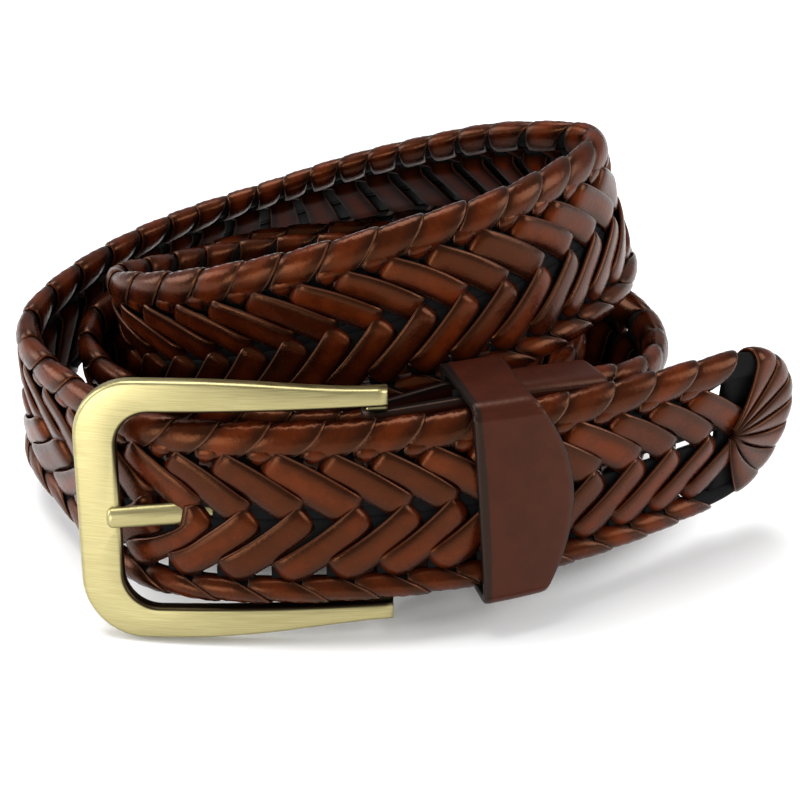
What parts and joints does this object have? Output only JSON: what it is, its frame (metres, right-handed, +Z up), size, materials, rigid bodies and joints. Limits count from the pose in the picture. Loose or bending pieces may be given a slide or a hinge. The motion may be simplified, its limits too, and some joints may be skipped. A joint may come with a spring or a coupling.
{
  "type": "braided leather belt",
  "caption": "Braided leather belt with a metal frame buckle, fastened and wound up on its edge, with prong, keeper and folded tab.",
  "frame": {"origin": "middle of the wound-up belt's outer box, on the surface that it stands on", "axes": "+X to the right, towards the strap's free tip; +Z up, across the strap's width; the buckle is at the front, on the -Y side"},
  "size_m": [0.1632, 0.1278, 0.0779],
  "materials": {
    "laced_leather": "glossy burnished reddish brown lace over a black core",
    "antique_brass": "brushed, pale antique gold",
    "smooth_leather": "satin reddish brown with dark burnished edges"
  },
  "bodies": {
    "root": {"braided_strap": "laced_leather", "buckle_frame": "antique_brass", "buckle_bar": "antique_brass", "prong": "antique_brass", "buckle_tab": "smooth_leather", "keeper": "smooth_leather"}
  },
  "joints": []
}
